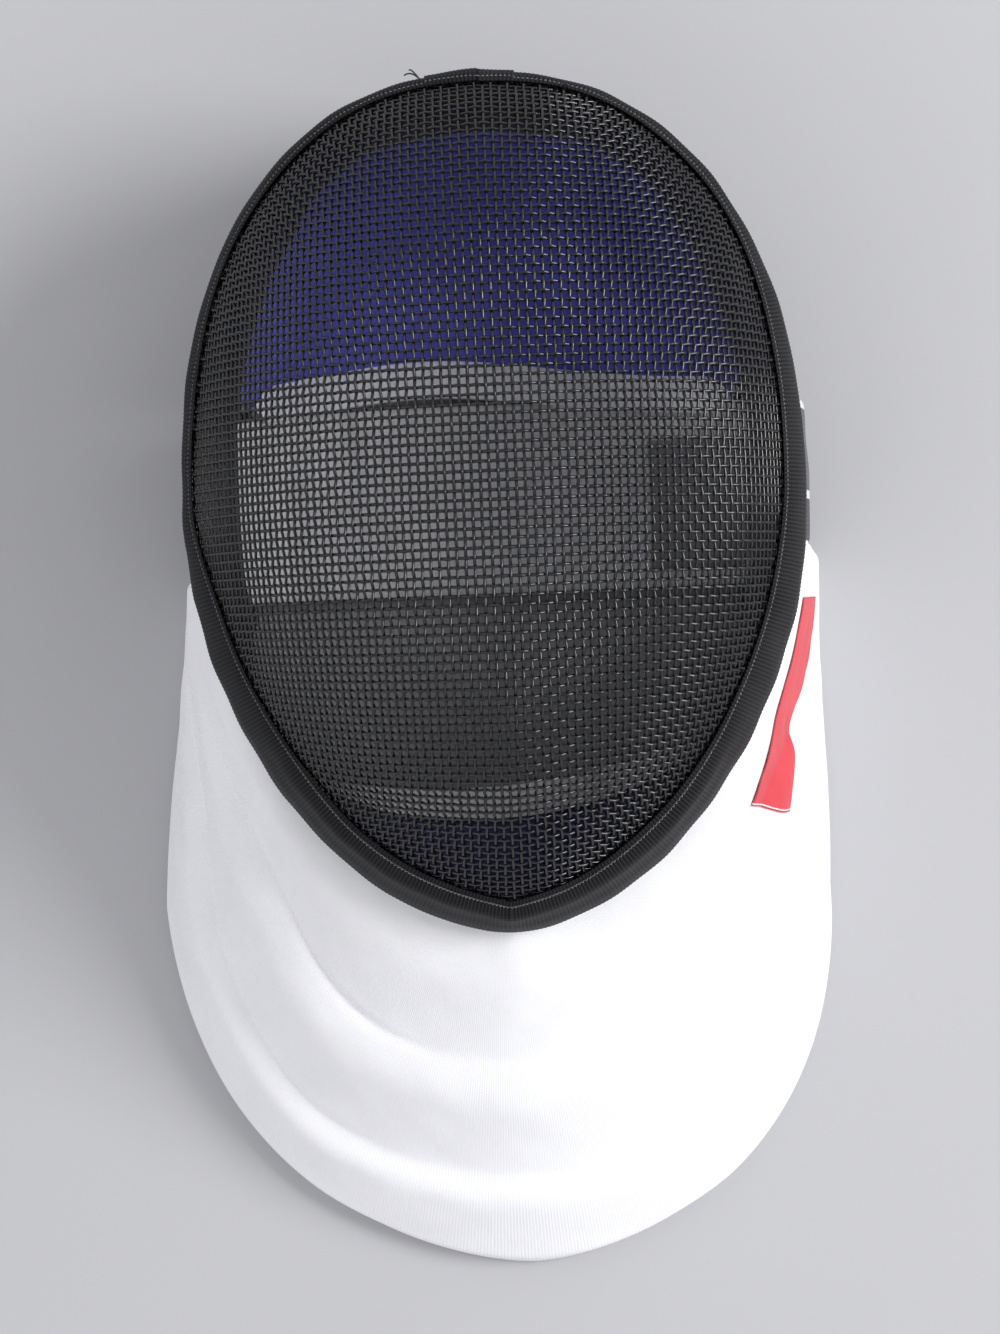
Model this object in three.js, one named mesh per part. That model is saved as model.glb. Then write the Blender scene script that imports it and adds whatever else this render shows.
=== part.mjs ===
import * as THREE from 'three';
import { mergeVertices } from 'three/addons/utils/BufferGeometryUtils.js';

// A fencing mask lying on its back, face up. Millimetres, +Z up, crown towards +Y, chin towards -Y.
// The outlines are worked out about the widest line of the face, and the whole mask is set on the
// middle of its own foot at the end.

// Face mesh: an egg-shaped rim and a dome over it
const faceHalfWidth = 108;
const crownReach = 147;
const chinReach = 150;
const crownSquareness = 2.28;
const chinSquareness = 1.84;
const apexHeight = 195;
const sideRimHeight = 113;
const crownRimHeight = 131;
const chinRimHeight = 113;
const domeFullness = 2.4;
const domeCutRatio = 0.93;
const rimSteps = 60;
const creaseDepth = 4.5;
const creaseSpread = 16;
const wireCloth = 1.6;

// Black tape on the two mesh edges
const tapeThickness = 1.5;
const tapeDrop = 9;
const tapeWidthCrown = 3.5;
const tapeWidthChin = 12;
const rearTapeHeight = 11;

// Side mesh: from the rim back over the crown and the sides
const sideAngle = 108;
const sideSteps = Math.round((rimSteps * 2 * sideAngle) / 360);
const sideSwell = 5.5;
const sideTuck = 8;

// Bib: padded skirt from ear to ear round the chin
const earAngle = 100;
const bibHalfWidth = 124;
const bibEarHalfWidth = 114;
const bibEarY = -23;
const bibCornerY = -140;
const bibReach = 283.8;
const hemSideReach = 120;
const hemChinReach = 26;
const bibPadding = 4.5;
const bibTopEdge = 1.4;
const bibBulge = 6;
const bibStep = 4.2;
const hemHeight = 4.5;
const hemRound = 3;
const hemFoot = 5;
const zoneRiseRatio = 0.11;
const topRiseRatio = 0.55;
const zoneFallRatio = 0.22;
const hemPlumpRatio = 0.65;
const seamRatioFrom = 0.12;
const seamRatioTo = 0.5;

// Inside padding
const liningAngle = 75;
const liningPadding = 6;
const liningHalfWidth = 87;
const liningEdgeY = 36;
const liningEdgePeak = 10;
const liningFloor = 10;
const liningTopGap = 50;
const liningLowTop = 46;
const liningStepAngleFrom = 46;
const liningStepAngleTo = 57;
const liningBendRatio = 0.78;
const liningHeelRatio = 0.9;
const liningHeelInset = 16;
const liningEndInset = 2;
const liningBendInset = 6;
const liningHeelLift = 5;
const liningPeakX = -23;
const liningPeakSpread = 60;
const padAngle = 122;
const padThickness = 15;
const padEdge = 2.5;
const padTaperAngle = 16;
const padLow = 52;
const padCrownDepth = 46;
const padTopGap = 7;
const chinPadAngle = 130;
const chinPadding = 6;
const chinEdgeHalfWidth = 66;
const chinEdgeY = -103.5;
const chinEdgeHeight = 78;
const chinSag = 5;
const chinEdgeBow = 10;
const chinEdgeSplay = 4;
const chinRimPadding = 2;
const bindingWidth = 12;
const bindingThickness = 1.2;

// Elastic strap across the rear opening, and its end outside the right side
const strapFromY = -31.5;
const strapToY = 34;
const strapThickness = 2;
const strapFloor = 7;
const strapEndHeight = 46;
const fastenerThickness = 1.6;
const fastenerInsetFront = 8;
const fastenerInsetBack = 9;
const tabFromY = -18;
const tabLow = 22;
const tabHigh = 95;
const tabThickness = 2.6;
const labelThickness = 0.6;

// Clearances between pieces
const seat = 0.3;
const padSeat = 0.6;
const labelSeat = 0.8;

const colours = {
  wire: 0x1d1e21, tape: 0x24252a, white: 0xf1f1f4, red: 0xe05563,
  blue: 0x2b2d7c, navy: 0x232650, black: 0x191a1d, elastic: 0xd9dadd,
};

const up = new THREE.Vector3(0, 0, 1);
const radians = THREE.MathUtils.degToRad;
const { lerp, smoothstep } = THREE.MathUtils;

// Rim of the face: turn is 0 at the crown, 90 at the right ear and 180 at the chin
function rimPlan(turn) {
  const s = Math.sin(radians(turn));
  const c = Math.cos(radians(turn));
  const power = 2 / (c >= 0 ? crownSquareness : chinSquareness);
  const reach = c >= 0 ? crownReach : chinReach;
  const x = faceHalfWidth * Math.sign(s) * Math.abs(s) ** power;
  return new THREE.Vector3(x, reach * Math.sign(c) * Math.abs(c) ** power, 0);
}

function rimOutward(turn) {
  const step = 0.4;
  const along = rimPlan(turn + step).sub(rimPlan(turn - step));
  return new THREE.Vector3(-along.y, along.x, 0).normalize();
}

// Height of the dome's outer face over any point inside the rim
function domeHeight(x, y) {
  const squareness = y >= 0 ? crownSquareness : chinSquareness;
  const reach = y >= 0 ? crownReach : chinReach;
  const across = Math.abs(x / faceHalfWidth) ** squareness;
  const along = Math.abs(y / reach) ** squareness;
  const share = (across + along) ** (1 / squareness);
  if (share < 1e-6) return apexHeight;
  const endwise = along / (across + along);
  const rim = lerp(sideRimHeight, y >= 0 ? crownRimHeight : chinRimHeight, endwise);
  const edge = Math.sqrt(1 - domeCutRatio ** domeFullness);
  const arch = Math.sqrt(Math.max(0, 1 - (domeCutRatio * share) ** domeFullness));
  const fall = (1 - arch) / (1 - edge);
  const crease = creaseDepth * endwise ** 2 * share ** 3 * (1 - Math.exp(-Math.abs(x) / creaseSpread));
  return lerp(apexHeight, rim, fall) - crease;
}

function domeNormal(x, y) {
  const step = 0.2;
  const shrink = 0.995;
  const px = x * shrink;
  const py = y * shrink;
  const slopeX = (domeHeight(px + step, py) - domeHeight(px - step, py)) / (2 * step);
  const slopeY = (domeHeight(px, py + step) - domeHeight(px, py - step)) / (2 * step);
  return new THREE.Vector3(-slopeX, -slopeY, 1).normalize();
}

function rimPoint(turn) {
  const p = rimPlan(turn);
  return p.setZ(domeHeight(p.x, p.y));
}

// A closed wall between two faces: each row holds the outer and the inner points of one section.
// Each quad is split along its shorter diagonal, so that faces that lie side by side split alike
function wallGeometry(rows, closed = false) {
  const positions = [];
  const quad = (a, b, c, d) => {
    const corners = a.distanceTo(c) < b.distanceTo(d) ? [a, b, c, a, c, d] : [b, c, d, b, d, a];
    for (const p of corners) positions.push(p.x, p.y, p.z);
  };
  const rings = rows.map(({ outer, inner }) => [...outer, ...[...inner].reverse()]);
  const count = closed ? rings.length : rings.length - 1;
  for (let i = 0; i < count; i++) {
    const ring = rings[i];
    const next = rings[(i + 1) % rings.length];
    for (let k = 0; k < ring.length; k++) {
      const l = (k + 1) % ring.length;
      quad(ring[k], ring[l], next[l], next[k]);
    }
  }
  if (!closed) {
    const first = rows[0];
    const last = rows[rows.length - 1];
    for (let j = 0; j < first.outer.length - 1; j++) {
      quad(first.outer[j], first.inner[j], first.inner[j + 1], first.outer[j + 1]);
      quad(last.outer[j], last.outer[j + 1], last.inner[j + 1], last.inner[j]);
    }
  }
  const soup = new THREE.BufferGeometry();
  soup.setAttribute('position', new THREE.Float32BufferAttribute(positions, 3));
  return facingOut(mergeVertices(soup, 1e-3));
}

// Drops the flat triangles left where points meet, and turns the faces outwards
function facingOut(geometry) {
  const at = (i) => new THREE.Vector3().fromBufferAttribute(geometry.attributes.position, i);
  const source = geometry.index.array;
  const kept = [];
  let volume = 0;
  for (let i = 0; i < source.length; i += 3) {
    const [a, b, c] = [source[i], source[i + 1], source[i + 2]];
    if (a === b || b === c || c === a) continue;
    kept.push(a, b, c);
    volume += at(a).dot(at(b).cross(at(c)));
  }
  if (volume < 0) kept.reverse();
  geometry.setIndex(kept);
  geometry.computeVertexNormals();
  return geometry;
}

// Rows of a wall from a face, its thickness and the stations along and across it
function wallRows(alongs, acrosses, face, thickness, normalAt) {
  return alongs.map((u) => {
    const outer = acrosses.map((v) => face(u, v));
    const inner = acrosses.map((v, j) => {
      return outer[j].clone().addScaledVector(normalAt(u, v), -thickness(u, v));
    });
    return { outer, inner };
  });
}

function stations(from, to, count) {
  return Array.from({ length: count + 1 }, (_, i) => lerp(from, to, i / count));
}

function named(name, geometry, colour, roughness, metalness = 0) {
  const material = new THREE.MeshStandardMaterial({ color: colour, roughness, metalness });
  const mesh = new THREE.Mesh(geometry, material);
  mesh.name = name;
  return mesh;
}

// Face mesh
function frontMesh() {
  const turns = stations(0, 360, rimSteps).slice(0, -1);
  const shares = [1, 0.96, 0.9, 0.82, 0.72, 0.6, 0.45, 0.28, 0.12, 0];
  const rows = turns.map((turn) => {
    const rim = rimPlan(turn);
    const outer = shares.map((share) => {
      const p = rim.clone().multiplyScalar(share);
      return p.setZ(domeHeight(p.x, p.y));
    });
    const inner = outer.map((p) => {
      const normal = p.x === 0 && p.y === 0 ? up : domeNormal(p.x, p.y);
      return p.clone().addScaledVector(normal, -wireCloth);
    });
    return { outer, inner };
  });
  return named('front_mesh', wallGeometry(rows, true), colours.wire, 0.5, 0.3);
}

// Black tape over the rim: a flange on the dome and a wall down its outside
function tapeWidth(turn) {
  return lerp(tapeWidthCrown, tapeWidthChin, ((1 - Math.cos(radians(turn))) / 2) ** 0.8);
}

function edgeTrim() {
  const rows = stations(0, 360, rimSteps).slice(0, -1).map((turn) => {
    const rim = rimPoint(turn);
    const out = rimOutward(turn);
    const section = (offset) => {
      const flange = [1, 0.5, 0].map((share) => {
        const p = rim.clone().addScaledVector(out, -share * tapeWidth(turn));
        p.setZ(domeHeight(p.x, p.y));
        return p.addScaledVector(domeNormal(p.x, p.y), offset);
      });
      const wall = [1.5, tapeDrop].map((drop) => {
        return rim.clone().addScaledVector(out, offset).addScaledVector(up, -drop);
      });
      return [...flange, ...wall];
    };
    return { outer: section(seat + tapeThickness), inner: section(seat) };
  });
  return named('edge_trim', wallGeometry(rows, true), colours.tape, 0.85);
}

// Side mesh, by turn and depth: depth is 0 under the rim and 1 at the rear edge
function sideOffset(depth) {
  return sideSwell * Math.sin(Math.PI * depth) ** 2 - sideTuck * depth ** 2;
}

function sideFace(turn, depth) {
  const top = rimPoint(turn);
  const topHeight = top.z - wireCloth - seat;
  const footHeight = tapeThickness + seat;
  top.addScaledVector(rimOutward(turn), sideOffset(depth));
  return top.setZ(lerp(topHeight, footHeight, depth));
}

const sideDepths = [0, 0.08, 0.22, 0.38, 0.55, 0.72, 0.88, 1];

function sideMesh() {
  const turns = stations(-sideAngle, sideAngle, sideSteps);
  const rows = wallRows(turns, sideDepths, sideFace, () => wireCloth, (turn) => rimOutward(turn));
  return named('side_mesh', wallGeometry(rows), colours.wire, 0.5, 0.3);
}

// Tape folded round the side mesh's rear edge, flat on the ground
function rearTrim() {
  const tipDepth = 1 - rearTapeHeight / sideRimHeight;
  const rows = stations(-sideAngle, sideAngle, sideSteps).map((turn) => {
    const out = rimOutward(turn);
    const tip = sideFace(turn, tipDepth);
    const foot = sideFace(turn, 1);
    const leg = (p, offset, height) => p.clone().addScaledVector(out, offset).setZ(height);
    const within = -(wireCloth + seat);
    return {
      outer: [
        leg(tip, seat + tapeThickness, tip.z), leg(foot, seat + tapeThickness, 0),
        leg(foot, within - tapeThickness, 0), leg(tip, within - tapeThickness, tip.z),
      ],
      inner: [
        leg(tip, seat, tip.z), leg(foot, seat, tapeThickness),
        leg(foot, within, tapeThickness), leg(tip, within, tip.z),
      ],
    };
  });
  return named('rear_trim', wallGeometry(rows), colours.tape, 0.85);
}

// Bib. Station 0 is the chin, -1 the left ear and 1 the right ear; drop is 0 at the tape, 1 at the hem
const hemPath = new THREE.Path();
hemPath.moveTo(bibEarHalfWidth, bibEarY);
hemPath.quadraticCurveTo(bibHalfWidth, lerp(bibEarY, bibCornerY, 0.4), bibHalfWidth, bibCornerY);
hemPath.bezierCurveTo(bibHalfWidth, bibCornerY - hemSideReach, hemChinReach, -bibReach, 0, -bibReach);

// The soft bib lies a little askew: its sideways shift from ear to chin
const bibLean = [
  { station: 0, shift: 2.4 },
  { station: 0.2, shift: -0.4 },
  { station: 0.45, shift: -4.4 },
  { station: 0.6, shift: -1.6 },
  { station: 0.8, shift: 1.8 },
  { station: 1, shift: 4.2 },
];

function tableAt(table, station, column) {
  const next = Math.max(1, table.findIndex((row) => row.station >= station));
  const [a, b] = [table[next - 1], table[next]];
  return lerp(a[column], b[column], (station - a.station) / (b.station - a.station));
}

function bibFrame(station) {
  const side = Math.sign(station) || 1;
  const towardsChin = 1 - Math.min(1, Math.abs(station));
  const turn = side * lerp(earAngle, 180, towardsChin);
  const top = rimPoint(turn);
  top.addScaledVector(rimOutward(turn), seat + tapeThickness);
  top.z -= tapeDrop + seat;
  const onHem = hemPath.getPointAt(towardsChin ** 1.25);
  const lean = tableAt(bibLean, towardsChin, 'shift');
  const hem = new THREE.Vector3(side * onHem.x + lean, onHem.y, hemHeight);
  const fall = hem.clone().sub(top);
  const run = new THREE.Vector3(fall.x, fall.y, 0).normalize();
  const along = Math.hypot(fall.x, fall.y);
  const normal = run.multiplyScalar(-fall.z).addScaledVector(up, along).normalize();
  return { towardsChin, top, fall, normal };
}

// Seams by share of the bib's drop, at the ear and at the chin
const bibSeams = [
  { atEar: 0, atChin: 0 },
  { atEar: 0.28, atChin: 0.395 },
  { atEar: 0.58, atChin: 0.754 },
  { atEar: 1, atChin: 1 },
];

// Zone 0, 1 and 2 lie between the seams; each is plump, rises at its seam and falls to the next
function bibFace(station, zone) {
  const { towardsChin, top, fall, normal } = bibFrame(station);
  const index = Math.min(2, Math.floor(zone));
  const within = zone - index;
  const seam = bibSeams.map((row) => lerp(row.atEar, row.atChin, towardsChin));
  const drop = lerp(seam[index], seam[index + 1], within);
  const shown = smoothstep(towardsChin, seamRatioFrom, seamRatioTo);
  const rise = smoothstep(within, 0, index === 0 ? topRiseRatio : zoneRiseRatio);
  const loss = (index === 2 ? 1 - hemPlumpRatio : 1) * smoothstep(within, zoneFallRatio, 1) ** 0.9;
  const proud = bibBulge * 4 * drop * (1 - drop) + bibStep * shown * rise * (1 - loss);
  return top.addScaledVector(fall, drop).addScaledVector(normal, proud);
}

function bibSurfaceAt(station, drop) {
  const towardsChin = 1 - Math.abs(station);
  const seam = bibSeams.map((row) => lerp(row.atEar, row.atChin, towardsChin));
  const index = drop < seam[1] ? 0 : drop < seam[2] ? 1 : 2;
  return bibFace(station, index + (drop - seam[index]) / (seam[index + 1] - seam[index]));
}

const bibStations = stations(-1, 1, 52);

function bib() {
  const zones = [0, 0.2, 0.45, 0.7, 0.9, 1, 1.1, 1.3, 1.6, 1.85, 2, 2.1, 2.35, 2.65, 2.88, 3];
  const rows = bibStations.map((station) => {
    const { normal } = bibFrame(station);
    const outer = zones.map((zone) => bibFace(station, zone));
    const inner = zones.map((zone, j) => {
      const thickness = lerp(bibTopEdge, bibPadding, smoothstep(zone, 0, 0.9));
      return outer[j].clone().addScaledVector(normal, -thickness);
    });
    const inwards = new THREE.Vector3(normal.x, normal.y, 0).normalize().negate();
    const hem = outer[outer.length - 1];
    outer.push(hem.clone().addScaledVector(inwards, hemRound).setZ(0));
    inner[inner.length - 1] = hem.clone().addScaledVector(inwards, hemRound + hemFoot);
    inner.push(hem.clone().addScaledVector(inwards, hemRound + hemFoot).setZ(0));
    return { outer, inner };
  });
  return named('bib', wallGeometry(rows), colours.white, 0.9);
}

// Bare label on the right of the bib: its upper and lower edge by share of the drop
const labelTable = [
  { station: 0.575, from: 0.21, to: 0.42 },
  { station: 0.625, from: 0.18, to: 0.38 },
  { station: 0.675, from: 0.14, to: 0.33 },
  { station: 0.715, from: 0.11, to: 0.25 },
  { station: 0.755, from: 0.11, to: 0.29 },
  { station: 0.83, from: 0.11, to: 0.32 },
  { station: 0.925, from: 0.1, to: 0.33 },
];

function sideLabel() {
  const last = labelTable[labelTable.length - 1].station;
  const shown = bibStations.filter((station) => station >= labelTable[0].station && station <= last);
  const rows = shown.map((station) => {
    const { normal } = bibFrame(station);
    const drops = stations(tableAt(labelTable, station, 'from'), tableAt(labelTable, station, 'to'), 8);
    const lift = (offset) => drops.map((drop) => {
      return bibSurfaceAt(station, drop).addScaledVector(normal, offset);
    });
    return { outer: lift(labelSeat + labelThickness), inner: lift(labelSeat) };
  });
  return named('side_label', wallGeometry(rows), colours.red, 0.6);
}

// Blue lining: down inside the side mesh, then over the back of the head to a wavy edge
function insideSide(turn, depth, inset) {
  return sideFace(turn, depth).addScaledVector(rimOutward(turn), -(wireCloth + padSeat + inset));
}

function liningEdge(turn) {
  const x = liningHalfWidth * Math.sin(radians((turn * 90) / liningAngle));
  const peak = liningEdgePeak * Math.exp(-(((x - liningPeakX) / liningPeakSpread) ** 2));
  return new THREE.Vector3(x, liningEdgeY + peak, liningFloor);
}

function liningCurve(turn) {
  const rimHeight = rimPoint(turn).z;
  const towardsLow = smoothstep(Math.abs(turn), liningStepAngleFrom, liningStepAngleTo);
  const topHeight = lerp(rimHeight - liningTopGap, liningLowTop, towardsLow);
  const topDepth = 1 - topHeight / rimHeight;
  const towardsEnd = Math.abs(turn) / liningAngle;
  const edge = liningEdge(turn);
  const heelInset = lerp(liningHeelInset, liningEndInset, towardsEnd ** 2);
  const heel = insideSide(turn, liningHeelRatio, heelInset).setZ(liningFloor + liningHeelLift);
  return new THREE.CatmullRomCurve3([
    insideSide(turn, topDepth, 0),
    insideSide(turn, lerp(topDepth, liningBendRatio, 0.5), liningEndInset / 3),
    insideSide(turn, liningBendRatio, lerp(liningBendInset, liningEndInset / 2, towardsEnd)),
    heel,
    heel.clone().lerp(edge, 0.5).setZ(liningFloor + liningHeelLift / 6),
    edge,
  ]);
}

// Shares along a padded face, the last step as wide as the binding on its edge
function boundShares(length, count) {
  return [...stations(0, 1 - bindingWidth / length, count), 1];
}

function liningRows() {
  return stations(-liningAngle, liningAngle, 34).map((turn) => {
    const curve = liningCurve(turn);
    const shares = boundShares(curve.getLength(), 8);
    const out = rimOutward(turn);
    const outer = shares.map((share) => curve.getPointAt(share));
    const inner = shares.map((share, i) => {
      const way = curve.getTangentAt(Math.min(share, 0.999));
      const normal = new THREE.Vector3().crossVectors(way, out.clone().cross(up)).normalize();
      return outer[i].clone().addScaledVector(normal, liningPadding);
    });
    return { outer, inner };
  });
}

function crownLining() {
  return named('crown_lining', wallGeometry(liningRows()), colours.blue, 0.9);
}

// A binding folded round the last step of a padded piece
function bindingGeometry(rows) {
  return wallGeometry(rows.map(({ outer, inner }) => {
    const [back, edge] = outer.slice(-2);
    const [innerBack, innerEdge] = inner.slice(-2);
    const off = edge.clone().sub(back).normalize();
    const normal = edge.clone().sub(innerEdge).normalize();
    const fold = (offset) => [
      back.clone().addScaledVector(normal, offset),
      edge.clone().addScaledVector(normal, offset).addScaledVector(off, offset),
      innerEdge.clone().addScaledVector(normal, -offset).addScaledVector(off, offset),
      innerBack.clone().addScaledVector(normal, -offset),
    ];
    return { outer: fold(padSeat + bindingThickness), inner: fold(padSeat) };
  }));
}

function liningBinding() {
  return named('lining_binding', bindingGeometry(liningRows()), colours.white, 0.85);
}

// Black padding inside the rim, from cheek to cheek over the crown
function rimPad() {
  const face = (turn, height) => {
    const rimHeight = rimPoint(turn).z;
    const towardsLow = smoothstep(Math.abs(turn), liningStepAngleFrom, liningStepAngleTo);
    const low = lerp(rimHeight - padCrownDepth, padLow, towardsLow);
    const z = lerp(low, rimHeight - padTopGap, height);
    return insideSide(turn, 1 - z / rimHeight, 0).setZ(z);
  };
  const thickness = (turn, height) => {
    const lengthwise = smoothstep(padAngle - Math.abs(turn), 0, padTaperAngle);
    return lerp(padEdge, padThickness, lengthwise * Math.sqrt(Math.abs(Math.sin(Math.PI * height))));
  };
  const heights = [0, 0.06, 0.2, 0.5, 0.8, 0.94, 1];
  const rows = wallRows(stations(-padAngle, padAngle, 52), heights, face, thickness, rimOutward);
  return named('rim_pad', wallGeometry(rows), colours.black, 0.9);
}

// Navy pad from the rim at the chin down to an edge across the neck opening
function chinEdge(turn) {
  const across = (180 - turn) / (180 - chinPadAngle);
  const x = chinEdgeHalfWidth * across;
  return new THREE.Vector3(x, chinEdgeY + chinEdgeBow * across ** 2 + chinEdgeSplay * across, chinEdgeHeight);
}

function chinRows() {
  return stations(chinPadAngle, 360 - chinPadAngle, 24).map((turn) => {
    const top = rimPoint(turn).addScaledVector(rimOutward(turn), -wireCloth);
    top.z -= wireCloth / 2 + seat;
    const edge = chinEdge(turn);
    const shares = boundShares(top.distanceTo(edge), 5);
    const inner = shares.map((share) => {
      return top.clone().lerp(edge, share).addScaledVector(up, -chinSag * Math.sin(Math.PI * share));
    });
    const outer = shares.map((share, i) => {
      const thickness = lerp(chinRimPadding, chinPadding, smoothstep(share, 0, 0.4));
      return inner[i].clone().addScaledVector(up, -thickness);
    });
    return { outer, inner };
  });
}

function chinPad() {
  return named('chin_pad', wallGeometry(chinRows()), colours.navy, 0.9);
}

function chinBinding() {
  return named('chin_binding', bindingGeometry(chinRows()), colours.white, 0.85);
}

// Side mesh's faces at a height, for what is fastened to it by the ears
function sideHalfWidth(y, z) {
  const squareness = y >= 0 ? crownSquareness : chinSquareness;
  const reach = y >= 0 ? crownReach : chinReach;
  const rim = faceHalfWidth * (1 - Math.abs(y / reach) ** squareness) ** (1 / squareness);
  return rim + sideOffset(1 - z / sideRimHeight);
}

// Strap across the back, by share of the half width and height above the ground
const strapTable = [
  { span: 1, height: strapEndHeight },
  { span: 1, height: lerp(strapFloor, strapEndHeight, 0.64) },
  { span: 0.96, height: lerp(strapFloor, strapEndHeight, 0.333) },
  { span: 0.86, height: lerp(strapFloor, strapEndHeight, 0.128) },
  { span: 0.6, height: lerp(strapFloor, strapEndHeight, 0.026) },
  { span: 0.3, height: strapFloor },
];

const strapSpans = [
  ...strapTable.map(({ span, height }) => ({ span: -span, height })),
  { span: 0, height: strapFloor },
  ...[...strapTable].reverse(),
];

function strapPoint(index, y, lift) {
  const { span, height } = strapSpans[index];
  const before = strapSpans[Math.max(0, index - 1)];
  const after = strapSpans[Math.min(strapSpans.length - 1, index + 1)];
  const reach = sideHalfWidth(y, height) - wireCloth - padSeat;
  const way = new THREE.Vector3((after.span - before.span) * reach, 0, after.height - before.height);
  const normal = new THREE.Vector3(-way.z, 0, way.x).normalize();
  return new THREE.Vector3(span * reach, y, height).addScaledVector(normal, lift);
}

function strapPiece(name, from, to, fromY, toY, lift, thickness, colour) {
  const rows = stations(fromY, toY, 4).map((y) => {
    const layer = (offset) => {
      return Array.from({ length: to - from + 1 }, (_, i) => strapPoint(from + i, y, offset));
    };
    return { outer: layer(lift), inner: layer(lift + thickness) };
  });
  return named(name, wallGeometry(rows), colour, 0.85);
}

function backStrap() {
  const last = strapSpans.length - 1;
  return strapPiece('back_strap', 0, last, strapFromY, strapToY, 0, strapThickness, colours.elastic);
}

function strapFastener() {
  const lift = strapThickness + seat;
  const from = strapSpans.findIndex(({ span }) => span > 0.5);
  const fromY = strapFromY + fastenerInsetFront;
  const toY = strapToY - fastenerInsetBack;
  return strapPiece('strap_fastener', from, from + 2, fromY, toY, lift, fastenerThickness, colours.black);
}

// Strap end outside the right side mesh
function strapTab() {
  const rows = stations(tabFromY, strapToY, 6).map((y) => {
    const layer = (offset) => stations(tabLow, tabHigh, 6).map((z) => {
      return new THREE.Vector3(sideHalfWidth(y, z) + offset, y, z);
    });
    return { outer: layer(padSeat + tabThickness), inner: layer(padSeat) };
  });
  return named('strap_tab', wallGeometry(rows), colours.elastic, 0.85);
}

const mask = new THREE.Group();
mask.add(
  frontMesh(), edgeTrim(), sideMesh(), rearTrim(), bib(), sideLabel(),
  crownLining(), liningBinding(), rimPad(),
  chinPad(), chinBinding(), backStrap(), strapFastener(), strapTab(),
);

const span = new THREE.Box3().setFromObject(mask);
const middle = span.getCenter(new THREE.Vector3());
mask.position.set(-middle.x, -middle.y, -span.min.z);

export default mask;
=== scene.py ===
import math
import bmesh
import bpy
import numpy as np
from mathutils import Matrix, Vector
from mathutils.kdtree import KDTree


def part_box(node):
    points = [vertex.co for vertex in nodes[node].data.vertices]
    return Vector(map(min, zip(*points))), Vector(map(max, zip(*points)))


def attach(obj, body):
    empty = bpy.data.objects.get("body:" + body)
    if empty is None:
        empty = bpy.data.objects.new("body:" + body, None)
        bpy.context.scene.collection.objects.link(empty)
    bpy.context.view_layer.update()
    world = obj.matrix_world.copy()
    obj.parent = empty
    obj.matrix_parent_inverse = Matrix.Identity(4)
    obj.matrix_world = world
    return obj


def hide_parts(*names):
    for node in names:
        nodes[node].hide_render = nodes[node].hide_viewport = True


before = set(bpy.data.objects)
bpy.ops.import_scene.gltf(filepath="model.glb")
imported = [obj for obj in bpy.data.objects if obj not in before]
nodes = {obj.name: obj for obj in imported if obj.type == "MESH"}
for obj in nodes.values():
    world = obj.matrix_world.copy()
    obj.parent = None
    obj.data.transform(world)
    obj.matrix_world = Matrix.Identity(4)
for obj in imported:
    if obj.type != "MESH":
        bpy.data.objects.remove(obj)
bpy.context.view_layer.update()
scene = bpy.context.scene
scene.view_settings.view_transform = "Standard"  # plain colours, as a product photo has


# Shared helpers
def lerp(a, b, t):
    return a + (b - a) * t


def smooth(t, low, high):
    t = np.clip((np.asarray(t, float) - low) / (high - low), 0, 1)
    return t * t * (3 - 2 * t)


def window(t, low, high, fade):
    return smooth(t, low - fade, low) * (1 - smooth(t, high, high + fade))


def unit(v):
    return v / np.maximum(np.linalg.norm(v, axis=-1, keepdims=True), 1e-12)


def curveThrough(values, t):  # Catmull-Rom through a list, t in list steps
    values = np.asarray(values, float)
    last = len(values) - 1
    i = np.clip(np.floor(t).astype(int), 0, last - 1)
    f = np.clip(t, 0, last) - i
    before, a, b, after = (values[np.clip(i + k, 0, last)] for k in (-1, 0, 1, 2))
    return 0.5 * (2 * a + (b - before) * f + (2 * before - 5 * a + 4 * b - after) * f ** 2
                  + (3 * a - before - 3 * b + after) * f ** 3)


def ripple(u, v, seed, waves, size):  # seeded soft noise from a few sine waves, about -1 to 1
    draw = np.random.default_rng(seed)
    total = np.zeros(np.broadcast(u, v).shape)
    for _ in range(waves):
        angle, phase = draw.uniform(0, 2 * math.pi, 2)
        pitch = size * draw.uniform(0.6, 1.7)
        total = total + np.sin((u * math.cos(angle) + v * math.sin(angle)) * 2 * math.pi / pitch + phase)
    return total / math.sqrt(waves)


def show(mesh, name):
    piece = bpy.data.objects.new(name, mesh)
    scene.collection.objects.link(piece)
    mesh.shade_smooth()
    return piece


def weld(mesh, fill=True):  # joins open borders that meet, closes small ends, faces outwards
    bm = bmesh.new()
    bm.from_mesh(mesh)
    rim = [v for v in bm.verts if v.is_boundary]
    bmesh.ops.remove_doubles(bm, verts=rim, dist=1e-6)
    if fill:
        bmesh.ops.holes_fill(bm, edges=[e for e in bm.edges if e.is_boundary], sides=0)
    bmesh.ops.recalc_face_normals(bm, faces=bm.faces)
    bm.to_mesh(mesh)
    bm.free()


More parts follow.
